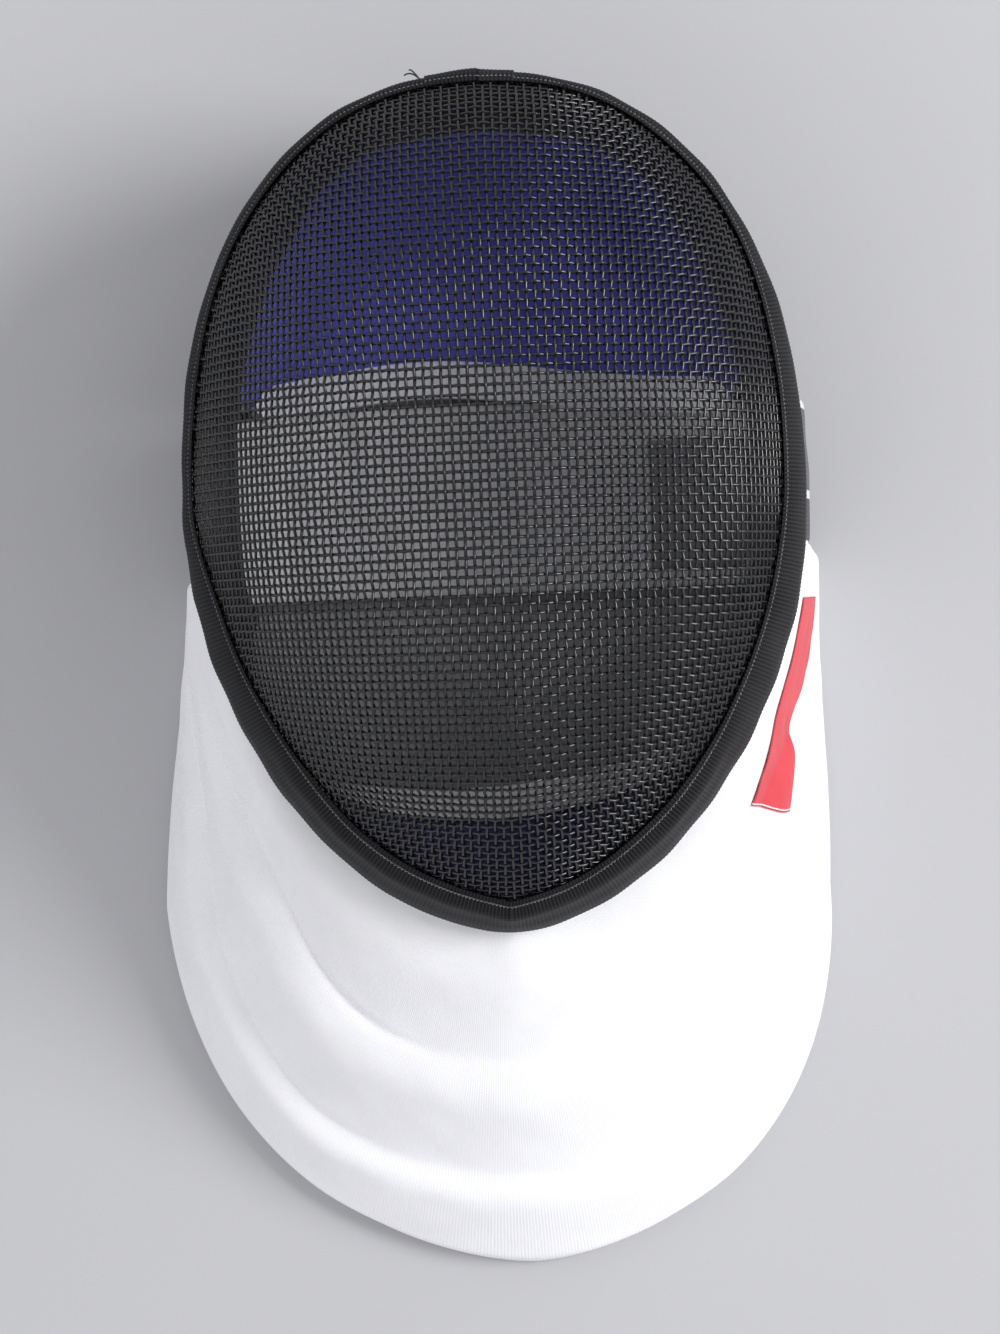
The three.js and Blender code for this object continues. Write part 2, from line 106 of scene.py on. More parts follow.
def gridMesh(name, spots, uvs):  # a grid whose points are set from an array of places
    columns, rows = spots.shape[:2]
    bm = bmesh.new()
    bmesh.ops.create_grid(bm, x_segments=columns - 1, y_segments=rows - 1, size=1)
    mesh = bpy.data.meshes.new(name)
    bm.to_mesh(mesh)
    bm.free()
    flat = np.zeros(len(mesh.vertices) * 3)
    mesh.vertices.foreach_get("co", flat)
    flat = flat.reshape(-1, 3)
    u = np.rint((flat[:, 0] + 1) / 2 * (columns - 1)).astype(int)
    v = np.rint((flat[:, 1] + 1) / 2 * (rows - 1)).astype(int)
    mesh.vertices.foreach_set("co", spots[u, v].ravel())
    corners = np.zeros(len(mesh.loops), int)
    mesh.loops.foreach_get("vertex_index", corners)
    layer = mesh.uv_layers.new(name="UVMap")
    layer.data.foreach_set("uv", uvs[u, v][corners].ravel())
    weld(mesh)
    return mesh


def gridPiece(name, spots, uvs):
    return show(gridMesh(name, spots + middle, uvs), name)


def tubePiece(name, runs, radius, sides=1, closed=False):  # wires or threads along lists of points
    curve = bpy.data.curves.new(name, "CURVE")
    curve.dimensions = "3D"
    curve.bevel_depth = radius
    curve.bevel_resolution = sides
    curve.use_fill_caps = True
    for run in runs:
        spline = curve.splines.new("POLY")
        spline.points.add(len(run) - 1)
        spline.points.foreach_set("co", np.c_[run + middle, np.ones(len(run))].ravel())
        spline.use_cyclic_u = closed
    holder = bpy.data.objects.new(name + ".path", curve)
    scene.collection.objects.link(holder)
    mesh = bpy.data.meshes.new_from_object(holder.evaluated_get(bpy.context.evaluated_depsgraph_get()))
    bpy.data.objects.remove(holder)
    weld(mesh, fill=False)
    return show(mesh, name)


def closedShell(over, under):  # rows of the upper face, then the lower face back to the start
    return np.concatenate([over, under[:, ::-1], over[:, :1]], 1)


def shellUv(along, width, shell):
    return np.stack(np.broadcast_arrays(along[:, None], np.linspace(0, width, shell.shape[1])[None, :]), -1)


def roundedHalf(edge, thickness):  # half a thickness that is rounded off at the borders
    return thickness / 2 * np.sqrt(np.clip(1 - (1 - np.clip(edge / thickness * 2, 0, 1)) ** 2, 0.02, 1))


def coordinates(mesh):
    flat = np.zeros(len(mesh.vertices) * 3)
    mesh.vertices.foreach_get("co", flat)
    return flat.reshape(-1, 3)


def nodeCopy(node, name):
    piece = nodes[node].copy()
    piece.data = nodes[node].data.copy()
    piece.name = name
    for key in list(piece.keys()):
        del piece[key]
    piece.parent = None
    scene.collection.objects.link(piece)
    return piece


def baked(piece):  # applies the piece's modifiers
    mesh = bpy.data.meshes.new_from_object(piece.evaluated_get(bpy.context.evaluated_depsgraph_get()))
    piece.modifiers.clear()
    piece.data = mesh
    return piece


def subdivided(piece):
    finer = piece.modifiers.new("subdivision", "SUBSURF")
    finer.levels = finer.render_levels = 1
    baked(piece).data.shade_smooth()
    return piece


def puffed(piece, held, how):  # cloth under pressure, held at some points; no point moves beyond the cap
    start = coordinates(piece.data)
    group = piece.vertex_groups.new(name="held")
    group.add([int(i) for i in held], 1.0, "REPLACE")
    cloth = piece.modifiers.new("cloth", "CLOTH")
    settings = cloth.settings
    settings.quality = 5
    settings.mass = 0.3
    settings.tension_stiffness = how["stiffness"]
    settings.compression_stiffness = how["stiffness"]
    settings.shear_stiffness = how["stiffness"] / 3
    settings.bending_stiffness = how["bending"]
    settings.use_pressure = True
    settings.uniform_pressure_force = how["pressure"]
    settings.shrink_min = -how["slack"]
    settings.vertex_group_mass = "held"
    settings.effector_weights.gravity = 0
    cloth.point_cache.frame_start = 1
    cloth.point_cache.frame_end = 20
    for step in range(1, 21):
        scene.frame_set(step)
    after = coordinates(piece.evaluated_get(bpy.context.evaluated_depsgraph_get()).to_mesh())
    piece.modifiers.remove(cloth)
    piece.vertex_groups.clear()
    scene.frame_set(1)
    move = after - start
    far = np.linalg.norm(move, axis=1, keepdims=True)
    move *= np.minimum(1, how["cap"] / np.maximum(far, 1e-9))
    piece.data.vertices.foreach_set("co", (start + move).ravel())
    piece.data.update()
    return piece


def settle(piece, node, material):
    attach(piece, "root")
    if node:
        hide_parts(node)
    piece.data.materials.clear()
    piece.data.materials.append(material)
    return piece


# Materials
def newMaterial(name, colour, roughness, **values):
    material = bpy.data.materials.new(name)
    material.use_nodes = True
    shader = material.node_tree.nodes["Principled BSDF"]
    shader.inputs["Base Color"].default_value = (*colour, 1)
    shader.inputs["Roughness"].default_value = roughness
    for socket, value in values.items():
        shader.inputs[socket.replace("_", " ")].default_value = value
    return material


def addNode(material, kind, **settings):
    node = material.node_tree.nodes.new(kind)
    for key, value in settings.items():
        if key in node.inputs:
            node.inputs[key].default_value = value
        else:
            setattr(node, key, value)
    return node


def join(material, fromSocket, toSocket):
    material.node_tree.links.new(fromSocket, toSocket)


def places(material, own="Object"):
    return addNode(material, "ShaderNodeTexCoord").outputs[own]


def noise(material, scale, detail=3, rough=0.55, own="Object"):
    texture = addNode(material, "ShaderNodeTexNoise", Scale=scale, Detail=detail, Roughness=rough)
    join(material, places(material, own), texture.inputs["Vector"])
    return texture.outputs["Fac"]


def bands(material, pitch, direction, own="UV", distortion=0.0):  # sine bands of a real pitch in metres
    texture = addNode(material, "ShaderNodeTexWave", bands_direction=direction, wave_profile="SIN",
                      Scale=math.pi / 10 / pitch, Distortion=distortion)
    join(material, places(material, own), texture.inputs["Vector"])
    return texture.outputs["Fac"]


def mathNode(material, operation, first, second):
    node = addNode(material, "ShaderNodeMath", operation=operation)
    for socket, value in zip(node.inputs, (first, second)):
        if isinstance(value, (int, float)):
            socket.default_value = value
        else:
            join(material, value, socket)
    return node.outputs[0]


def ramp(material, factor, stops):
    node = addNode(material, "ShaderNodeValToRGB")
    while len(node.color_ramp.elements) < len(stops):
        node.color_ramp.elements.new(1)
    for element, (at, colour) in zip(node.color_ramp.elements, stops):
        element.position = at
        element.color = (*colour, 1)
    join(material, factor, node.inputs["Fac"])
    return node.outputs["Color"]


def bump(material, height, distance, strength=1.0):
    shader = material.node_tree.nodes["Principled BSDF"]
    node = addNode(material, "ShaderNodeBump", Strength=strength, Distance=distance)
    join(material, height, node.inputs["Height"])
    if shader.inputs["Normal"].is_linked:
        join(material, shader.inputs["Normal"].links[0].from_socket, node.inputs["Normal"])
    join(material, node.outputs["Normal"], shader.inputs["Normal"])


def setColour(material, socket):
    join(material, socket, material.node_tree.nodes["Principled BSDF"].inputs["Base Color"])


def setRoughness(material, factor, low, high):
    shader = material.node_tree.nodes["Principled BSDF"]
    spread = addNode(material, "ShaderNodeMapRange", **{"To Min": low, "To Max": high})
    join(material, factor, spread.inputs["Value"])
    join(material, spread.outputs["Result"], shader.inputs["Roughness"])


def uvAxis(material, axis):
    parts = addNode(material, "ShaderNodeSeparateXYZ")
    join(material, places(material, "UV"), parts.inputs[0])
    return parts.outputs[axis]


def between(material, value, low, high):  # 1 where the value lies from low to high
    node = mathNode(material, "COMPARE", value, (low + high) / 2).node
    node.inputs[2].default_value = (high - low) / 2
    return node.outputs[0]


def tint(material, share, colour):  # lays a colour over the material's own where the share is 1
    base = material.node_tree.nodes["Principled BSDF"].inputs["Base Color"]
    mix = addNode(material, "ShaderNodeMix", data_type="RGBA")
    join(material, share, mix.inputs[0])
    join(material, base.links[0].from_socket, mix.inputs[6])
    mix.inputs[7].default_value = (*colour, 1)
    join(material, mix.outputs[2], base)


def speckled(name, dark, light, scale, stops, roughness, **values):  # two colours mixed by soft noise
    material = newMaterial(name, dark, roughness, **values)
    setColour(material, ramp(material, noise(material, scale), [(stops[0], dark), (stops[1], light)]))
    return material


cloths = {  # colours, pitch of the threads across and along, their height, roughness
    "knitWhite": {"dark": (0.84, 0.84, 0.87), "light": (0.92, 0.92, 0.935),
                  "pitch": (0.0011, 0.0009), "depth": 0.00016, "roughness": 0.88},
    "labelRed": {"dark": (0.58, 0.03, 0.045), "light": (0.68, 0.052, 0.072),
                 "pitch": (0.0006, 0.0005), "depth": 0.00006, "roughness": 0.55},
    "liningBlue": {"dark": (0.1, 0.1, 0.62), "light": (0.17, 0.175, 0.9), "own": "Object",
                   "pitch": (0.0008, 0.0008), "depth": 0.0001, "roughness": 0.8},
    "padNavy": {"dark": (0.01, 0.012, 0.07), "light": (0.02, 0.022, 0.11), "own": "Object",
                "pitch": (0.0008, 0.0008), "depth": 0.0001, "roughness": 0.85},
    "padBlack": {"dark": (0.01, 0.01, 0.012), "light": (0.025, 0.025, 0.028), "own": "Object",
                 "pitch": (0.0008, 0.0008), "depth": 0.0001, "roughness": 0.85},
    "bindingWhite": {"dark": (0.92, 0.92, 0.93), "light": (0.97, 0.97, 0.98), "own": "Object",
                     "pitch": (0.0007, 0.0007), "depth": 0.0001, "roughness": 0.8},
    # the chin binding's cloth is the white binding painted grey, which is painted shade
    "bindingWhitePaintedShade": {"dark": (0.46, 0.46, 0.48), "light": (0.58, 0.58, 0.6), "own": "Object",
                    "pitch": (0.0007, 0.0007), "depth": 0.0001, "roughness": 0.8},
    "elasticGrey": {"dark": (0.72, 0.72, 0.74), "light": (0.88, 0.88, 0.9),
                    "pitch": (0.0016, 0.0008), "depth": 0.0002, "roughness": 0.85},
    "tabCloth": {"dark": (0.6, 0.6, 0.62), "light": (0.74, 0.74, 0.76),
                 "pitch": (0.0016, 0.0008), "depth": 0.0002, "roughness": 0.85},
    "hookPatch": {"dark": (0.26, 0.26, 0.27), "light": (0.4, 0.4, 0.41),
                  "pitch": (0.0009, 0.0009), "depth": 0.0003, "roughness": 0.9},
}


def wovenCloth(name):
    cloth = cloths[name]
    own = cloth.get("own", "UV")
    across, along = cloth["pitch"]
    material = newMaterial(name, cloth["dark"], cloth["roughness"], Sheen_Weight=0.2, Sheen_Roughness=0.5)
    threads = mathNode(
        material, "MULTIPLY", bands(material, across, "X", own), bands(material, along, "Y", own))
    mixed = mathNode(material, "ADD", mathNode(material, "MULTIPLY", noise(material, 45), 0.7),
                     mathNode(material, "MULTIPLY", threads, 0.5))
    setColour(material, ramp(material, mixed, [(0.25, cloth["dark"]), (0.85, cloth["light"])]))
    bump(material, noise(material, 1800, 2), cloth["depth"] * 0.6, 0.4)
    bump(material, threads, cloth["depth"], 0.7)
    return material


wirePaint = speckled("wirePaint", (0.002, 0.002, 0.0025), (0.006, 0.006, 0.007), 260, (0.35, 0.7), 0.12,
                     Specular_IOR_Level=0.6)
setRoughness(wirePaint, noise(wirePaint, 90), 0.08, 0.16)
bump(wirePaint, noise(wirePaint, 2600, 2), 0.00004, 0.6)
threadGrey = speckled("threadGrey", (0.07, 0.07, 0.08), (0.2, 0.2, 0.22), 900, (0.3, 0.7), 0.7)
threadBlack = speckled("threadBlack", (0.01, 0.01, 0.012), (0.04, 0.04, 0.045), 900, (0.3, 0.7), 0.7)

knitInside = {"from": 0.237, "colour": (0.015, 0.017, 0.07)}  # the bib's inside is navy
knitWhite = wovenCloth("knitWhite")
isInside = mathNode(knitWhite, "GREATER_THAN", uvAxis(knitWhite, 1), knitInside["from"])
tint(knitWhite, isInside, knitInside["colour"])

labelEnds = {"from": 0.203, "to": 0.3145, "line": 0.0006, "inset": 0.0012, "colour": (0.85, 0.82, 0.83)}
labelRed = wovenCloth("labelRed")
acrossLabel = uvAxis(labelRed, 0)
nearEnd = mathNode(labelRed, "MINIMUM", mathNode(labelRed, "SUBTRACT", acrossLabel, labelEnds["from"]),
                   mathNode(labelRed, "SUBTRACT", labelEnds["to"], acrossLabel))
lineFrom = labelEnds["inset"] - labelEnds["line"] / 2
tint(labelRed, between(labelRed, nearEnd, lineFrom, lineFrom + labelEnds["line"]), labelEnds["colour"])

tabBands = {"black": -0.0025, "dark": (0.0005, 0.0305)}  # along the strap's outer end
tabColours = {"black": (0.02, 0.02, 0.022), "dark": (0.07, 0.07, 0.075)}
tabCloth = wovenCloth("tabCloth")
alongTab = uvAxis(tabCloth, 0)
tint(tabCloth, between(tabCloth, alongTab, *tabBands["dark"]), tabColours["dark"])
tint(tabCloth, mathNode(tabCloth, "LESS_THAN", alongTab, tabBands["black"]), tabColours["black"])

liningBlue, padNavy, padBlack = [wovenCloth(name) for name in ("liningBlue", "padNavy", "padBlack")]
# the second binding is the white binding painted grey: painted shade for the chin binding
bindingWhite, bindingWhitePaintedShade = wovenCloth("bindingWhite"), wovenCloth("bindingWhitePaintedShade")
elasticGrey, hookPatch = wovenCloth("elasticGrey"), wovenCloth("hookPatch")
print("materials made")

# Shapes shared with the solids
meshLow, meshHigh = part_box("front_mesh")
face = {
    "half": (meshHigh.x - meshLow.x) / 2, "crownReach": 0.147, "chinReach": 0.150,
    "crownSquareness": 2.28, "chinSquareness": 1.84, "apex": meshHigh.z,
    "sideRim": 0.113, "crownRim": 0.131, "chinRim": 0.113, "fullness": 2.4, "cut": 0.93,
    "creaseDepth": 0.0045, "creaseSpread": 0.016, "wire": 0.0016, "seat": 0.0003,
}
middle = np.array([(meshLow.x + meshHigh.x) / 2, meshHigh.y - face["crownReach"], 0])
camera = {"height": 1.445, "x": -0.00045, "y": -0.0586, "roll": -2.3, "lens": 101.87, "sensor": 36.0}
cameraData = bpy.data.cameras.new("camera")
cameraData.sensor_fit = "VERTICAL"
cameraData.sensor_height = camera["sensor"]
cameraData.lens = camera["lens"]
cameraObject = bpy.data.objects.new("camera", cameraData)
cameraObject.location = (middle[0] + camera["x"], middle[1] + camera["y"], camera["height"])
cameraObject.rotation_euler = (0, 0, math.radians(camera["roll"]))
scene.collection.objects.link(cameraObject)
scene.camera = cameraObject

edgeArch = math.sqrt(1 - face["cut"] ** face["fullness"])
edgeSlope = face["fullness"] * face["cut"] ** face["fullness"] / (2 * edgeArch * (1 - edgeArch))


def rimPlan(turn):  # turn is 0 at the crown, 90 at the right ear and 180 at the chin
    s, c = np.sin(np.radians(turn)), np.cos(np.radians(turn))
    power = 2 / np.where(c >= 0, face["crownSquareness"], face["chinSquareness"])
    reach = np.where(c >= 0, face["crownReach"], face["chinReach"])
    x = face["half"] * np.sign(s) * np.abs(s) ** power
    y = reach * np.sign(c) * np.abs(c) ** power
    return np.stack([x, y, np.zeros_like(x)], -1)


def rimOutward(turn):
    way = rimPlan(turn + 0.4) - rimPlan(turn - 0.4)
    return unit(np.stack([-way[..., 1], way[..., 0], np.zeros_like(way[..., 0])], -1))


def domeShare(x, y):
    crown = y >= 0
    power = np.where(crown, face["crownSquareness"], face["chinSquareness"])
    reach = np.where(crown, face["crownReach"], face["chinReach"])
    across, along = np.abs(x / face["half"]) ** power, np.abs(y / reach) ** power
    return (across + along) ** (1 / power), along / np.maximum(across + along, 1e-9)


def domeHeight(x, y):
    share, endwise = domeShare(x, y)
    rim = lerp(face["sideRim"], np.where(y >= 0, face["crownRim"], face["chinRim"]), endwise)
    inside = np.minimum(share, 1)
    arch = np.sqrt(1 - (face["cut"] * inside) ** face["fullness"])
    fall = (1 - arch) / (1 - edgeArch) + edgeSlope * (share - inside)
    crease = endwise ** 2 * inside ** 3 * (1 - np.exp(-np.abs(x) / face["creaseSpread"]))
    return lerp(face["apex"], rim, fall) - face["creaseDepth"] * crease


def domeNormal(x, y):
    step = 0.0003
    slopeX = (domeHeight(x + step, y) - domeHeight(x - step, y)) / (2 * step)
    slopeY = (domeHeight(x, y + step) - domeHeight(x, y - step)) / (2 * step)
    return unit(np.stack([-slopeX, -slopeY, np.ones_like(slopeX)], -1))


def domePoint(x, y, offset):
    return np.stack([x, y, domeHeight(x, y)], -1) + domeNormal(x, y) * np.asarray(offset)[..., None]


def rimPoint(turn):
    p = rimPlan(turn)
    return np.stack([p[..., 0], p[..., 1], domeHeight(p[..., 0], p[..., 1])], -1)


# Woven face
weave = {
    "acrossPitch": 0.00298, "alongPitch": 0.0032, "radius": 0.00055, "swing": 0.00057,
    "flat": 0.18, "edge": 0.99, "sunk": 0.0011, "leastCrimp": 0.1,
}


def crossings():  # plan places where the wires cross, equally spaced over the dome
    xs = np.linspace(-1.15 * face["half"], 1.15 * face["half"], 401)
    ys = np.linspace(-1.15 * face["chinReach"], 1.15 * face["crownReach"], 521)
    heights = domeHeight(*np.meshgrid(xs, ys, indexing="ij"))
    stretches = [np.sqrt(1 + np.gradient(heights, axis, axis=i) ** 2) for i, axis in enumerate((xs, ys))]

    def lengths(stretch, axis, i):
        mid = (np.take(stretch, range(1, len(axis)), i) + np.take(stretch, range(len(axis) - 1), i)) / 2
        total = np.insert(np.cumsum(mid * (axis[1] - axis[0]), i), 0, 0, i)
        return total - np.take(total, [int(np.argmin(np.abs(axis)))], i)

    across, along = lengths(stretches[0], xs, 0), lengths(stretches[1], ys, 1)

    def at(table, x, y):
        fx = np.clip((x - xs[0]) / (xs[1] - xs[0]), 0, len(xs) - 1.001)
        fy = np.clip((y - ys[0]) / (ys[1] - ys[0]), 0, len(ys) - 1.001)
        i, j = fx.astype(int), fy.astype(int)
        s, t = fx - i, fy - j
        return lerp(lerp(table[i, j], table[i + 1, j], s), lerp(table[i, j + 1], table[i + 1, j + 1], s), t)

    u = (np.arange(-58, 58) + 0.5) * weave["acrossPitch"]
    v = np.arange(-64, 65) * weave["alongPitch"]
    u, v = np.meshgrid(u, v, indexing="ij")
    x, y = u * 0.75, v * 0.9
    for _ in range(40):
        x = np.clip(x + 0.6 * (u - at(across, x, y)) / at(stretches[0], x, y), xs[0], xs[-1])
        y = np.clip(y + 0.6 * (v - at(along, x, y)) / at(stretches[1], x, y), ys[0], ys[-1])
    return x, y


def faceWires(x, y, sign):  # one run of points for each row of crossings
    runs = []
    share = domeShare(x, y)[0]
    for i in range(len(x)):
        inside = np.flatnonzero(share[i] < weave["edge"])
        if len(inside) < 2:
            continue
        first, last = inside[0], inside[-1]
        stops, swings = [], []
        for k in range(first, last + 1):
            side = sign * (-1) ** (i + k)
            stops += [k - weave["flat"], k + weave["flat"]]
            swings += [side, side]
        head = first - (weave["edge"] - share[i, first]) / max(share[i, first - 1] - share[i, first], 1e-6)
        tail = last + (weave["edge"] - share[i, last]) / max(share[i, last + 1] - share[i, last], 1e-6)
        kept = [(s, w) for s, w in zip(stops, swings) if head + 0.1 < s < tail - 0.1]
        stops = np.array([head] + [s for s, _ in kept] + [tail])
        swings = np.array([0] + [w for _, w in kept] + [0]) * weave["swing"]
        index = np.arange(len(x[i]))
        spotX, spotY = np.interp(stops, index, x[i]), np.interp(stops, index, y[i])
        normal = domeNormal(spotX, spotY)
        tilt = sign * (normal[:, 1] ** 2 - normal[:, 0] ** 2)
        crimp = np.clip(1 + 1.3 * tilt, weave["leastCrimp"], 2 - weave["leastCrimp"])
        runs.append(domePoint(spotX, spotY, swings * crimp - weave["sunk"]))
    return runs


crossX, crossY = crossings()
warp = tubePiece("faceWarp", faceWires(crossX, crossY, 1), weave["radius"])
weft = tubePiece("faceWeft", faceWires(crossX.T, crossY.T, -1), weave["radius"])
for piece in (warp, weft):
    settle(piece, "front_mesh", wirePaint)
print("face woven", len(warp.data.polygons), len(weft.data.polygons))

# Woven sides
sides = {"turn": 108, "swell": 0.0055, "tuck": 0.008, "pitch": 0.0031, "levels": 38, "foot": 0.0018}


def sideOffset(depth):
    return sides["swell"] * np.sin(math.pi * depth) ** 2 - sides["tuck"] * depth ** 2


def sideFace(turn, depth):  # depth is 0 under the rim and 1 at the rear edge
    top = rimPoint(turn)
    height = lerp(top[..., 2] - face["wire"] - face["seat"], sides["foot"], depth)
    spot = top + rimOutward(turn) * np.asarray(sideOffset(depth))[..., None]
    spot[..., 2] = height
    return spot


def evenTurns(low, high, pitch):
    fine = np.linspace(low, high, 2000)
    path = rimPoint(fine)
    length = np.insert(np.cumsum(np.linalg.norm(np.diff(path, axis=0), axis=1)), 0, 0)
    return np.interp(np.linspace(0, length[-1], int(length[-1] / pitch) + 1), length, fine)


sideTurns = evenTurns(-sides["turn"], sides["turn"], sides["pitch"])
sideDepths = np.linspace(0.006, 0.992, sides["levels"])
turnGrid, depthGrid = np.meshgrid(sideTurns, sideDepths, indexing="ij")
checker = (-1.0) ** np.add.outer(np.arange(len(sideTurns)), np.arange(len(sideDepths)))
sideBase = sideFace(turnGrid, depthGrid) - rimOutward(turnGrid) * face["wire"] / 2
swingOut = rimOutward(turnGrid) * (checker * weave["swing"])[..., None]
down = tubePiece("sideDownWires", list(sideBase + swingOut), weave["radius"])
around = tubePiece("sideRoundWires", list(np.swapaxes(sideBase - swingOut, 0, 1)), weave["radius"])
for piece in (down, around):
    settle(piece, "side_mesh", wirePaint)
print("sides woven", len(down.data.polygons), len(around.data.polygons))

# Edge trim
tape = {
    "thickness": 0.0015, "drop": 0.009, "ribPitch": 0.00145, "ribHeight": 0.00016, "puff": 0.0009,
    "beadHeight": 0.0021, "beadSpread": 0.0024, "beadIn": 0.0028, "lapHeight": 0.0007, "thinEdge": 0.4,
    "waver": 0.0003, "roll": 0.0006, "chinNotch": 0.002, "notchRound": 1.6, "notchSpread": 6,
    "beadTurns": (143, 217, 22), "lapTurns": (-7.5, 4.8, 0.25),
}
stitch = {"in": 0.0006, "pitch": 0.0016, "radius": 0.0002, "swing": 0.00036, "sunk": 0.0002}
tapeWidths = np.array([  # turn and width in mm
    (-180, 12), (-150, 11.5), (-135, 11), (-118, 9), (-105, 7.2), (-98, 4.6), (-91, 2.4), (-60, 2.1),
    (45, 2.1), (58, 3.2), (71, 5), (86, 6.9), (100, 8.8), (120, 10.2), (135, 11), (150, 11.5), (180, 12),
])
widthTurns = np.arange(-200, 201)
widthBlur = np.hanning(13) / np.hanning(13).sum()
widthEven = np.interp((widthTurns + 180) % 360 - 180, tapeWidths[:, 0], tapeWidths[:, 1] / 1000)
widthTable = np.convolve(widthEven, widthBlur, "same")

tapeCloth = newMaterial("tapeCloth", (0.004, 0.004, 0.005), 0.46, Specular_IOR_Level=0.07)
# the tape is coloured lighter on each rib crest, in step with the ribs of the shape: painted highlight on
# the ribs, mixed with random tone from the noise
tapeRibHighlightAndTone = mathNode(tapeCloth, "MULTIPLY", bands(tapeCloth, tape["ribPitch"], "X"), 0.6)
tapeRibHighlightAndTone = mathNode(tapeCloth, "ADD", tapeRibHighlightAndTone, mathNode(tapeCloth, "MULTIPLY", noise(tapeCloth, 60), 0.5))
tapeDarkAndRibHighlight = [(0.2, (0.003, 0.003, 0.0034)), (0.85, (0.021, 0.021, 0.023))]
setColour(tapeCloth, ramp(tapeCloth, tapeRibHighlightAndTone, tapeDarkAndRibHighlight))
bump(tapeCloth, noise(tapeCloth, 1500, 2), 0.00012, 0.5)
bump(tapeCloth, bands(tapeCloth, 0.0006, "Y"), 0.00008, 0.5)


def tapeWidth(turn):
    even = np.interp((turn + 180) % 360 - 180, widthTurns, widthTable)
    away = np.hypot(turn % 360 - 180, tape["notchRound"]) - tape["notchRound"]
    return even - tape["chinNotch"] * np.exp(-away / tape["notchSpread"])


def tapeSpot(turn, along, offset):  # along is negative on the flange and positive down the wall
    p, out = rimPlan(turn), rimOutward(turn)
    flat = p + out * np.minimum(along, 0)[..., None]
    spot = np.stack([flat[..., 0], flat[..., 1], domeHeight(flat[..., 0], flat[..., 1])], -1)
    spot[..., 2] -= np.maximum(along, 0)
    lean = smooth(along, -0.003, 0.0015)[..., None]
    normal = unit(lerp(domeNormal(flat[..., 0] * 0.995, flat[..., 1] * 0.995), out, lean))
    return spot + normal * offset[..., None]


tapeTurns = evenTurns(0, 360, tape["ribPitch"] / 5)
tapeLength = np.arange(len(tapeTurns)) * tape["ribPitch"] / 5
outerShares = [0, 0.05, 0.12, 0.2, 0.3, 0.42, 0.55, 0.68, 0.8, 0.9, 0.97, 1]
section = [(s, 1.0) for s in outerShares] + [(1.03, 0.5)]
section += [(s, 0.0) for s in (1, 0.7, 0.35, 0)] + [(-0.03, 0.5), section[0]]
sectionShare = np.array([s for s, _ in section])
sectionRise = np.array([r for _, r in section])


def tapeRelief(turn, along, length, width):  # height of the tape's outside over its seat
    chin = window(turn, *tape["beadTurns"])
    bead = np.exp(-((along + width - tape["beadIn"]) / tape["beadSpread"]) ** 4) * chin
    ribs = 0.5 - 0.5 * np.cos(length * 2 * math.pi / tape["ribPitch"])
    share = np.clip((along + width) / (tape["drop"] + width), 0, 1)
    puff = tape["puff"] * np.sin(math.pi * share) * (0.8 + 0.3 * ripple(length, along, 5, 5, 0.03))
    lap = tape["lapHeight"] * window((turn + 180) % 360 - 180, *tape["lapTurns"])
    relief = tape["ribHeight"] * (ribs - 0.5) * (1 - 0.7 * bead) + tape["beadHeight"] * bead + puff + lap
    return tape["thickness"] * lerp(tape["thinEdge"], 1, smooth(along + width, -0.001, 0.004)) + relief


turns, shares = np.meshgrid(tapeTurns, sectionShare, indexing="ij")
rises = np.broadcast_to(sectionRise, turns.shape)
lengths = np.broadcast_to(tapeLength[:, None], turns.shape)
width = tapeWidth(turns) + tape["waver"] * ripple(lengths, 0 * lengths, 3, 4, 0.06)
alongs = lerp(-width, tape["drop"], shares)
outer = rises * smooth(np.minimum(shares, 1 - shares), -0.06, 0.05)
offsets = face["seat"] + outer * tapeRelief(turns, alongs, lengths, width)
offsets = offsets + (sectionRise == 0.5) * tape["roll"]
trim = gridPiece("edgeTrim", tapeSpot(turns, alongs, offsets), np.stack([lengths, alongs], -1))
settle(trim, "edge_trim", tapeCloth)

stitchTurns = evenTurns(0, 360, stitch["pitch"] / 4)
stitchTurns = stitchTurns[: len(stitchTurns) // 4 * 4]
stitchAt = np.arange(len(stitchTurns)) * stitch["pitch"] / 4
stitchWidth = tapeWidth(stitchTurns) + tape["waver"] * ripple(stitchAt, 0 * stitchAt, 3, 4, 0.06)
stitchIn = stitch["in"] - stitchWidth
stitchLift = stitch["swing"] * np.cos(stitchAt * 2 * math.pi / stitch["pitch"]) - stitch["sunk"]
stitchLift = face["seat"] + stitchLift + tapeRelief(stitchTurns, stitchIn, stitchAt, stitchWidth)
stitchSpot = tapeSpot(stitchTurns, stitchIn, stitchLift)
settle(tubePiece("trimStitches", [stitchSpot], stitch["radius"], closed=True), None, threadGrey)

loose = {"turn": -8.0, "knotTurn": 13.5, "radius": 0.00028}
crownTop = rimPoint(np.array([loose["turn"]]))[0] + np.array([0, 0.0015, 0.001])
strands = []
for bend, lift in ((0.0024, 0.001), (0.0006, 0.002)):
    t = np.linspace(0, 1, 9)
    strands.append(crownTop + np.stack([
        -0.001 - 0.006 * t + bend * t * t, 0.0045 * t * (1.3 - t) + bend * t,
        lift * t * (1 - t) * 2 - 0.002 * t], -1))
knotAt = rimPoint(np.array([loose["knotTurn"]]))[0] + np.array([0, -0.0005, 0.0022])
coil = np.linspace(0, 4 * math.pi, 25)
strands.append(knotAt + np.stack([
    0.0011 * np.cos(coil), 0.0009 * np.sin(coil), 0.0005 * np.sin(coil * 1.5)], -1))
settle(tubePiece("looseThreads", strands, loose["radius"]), None, threadBlack)

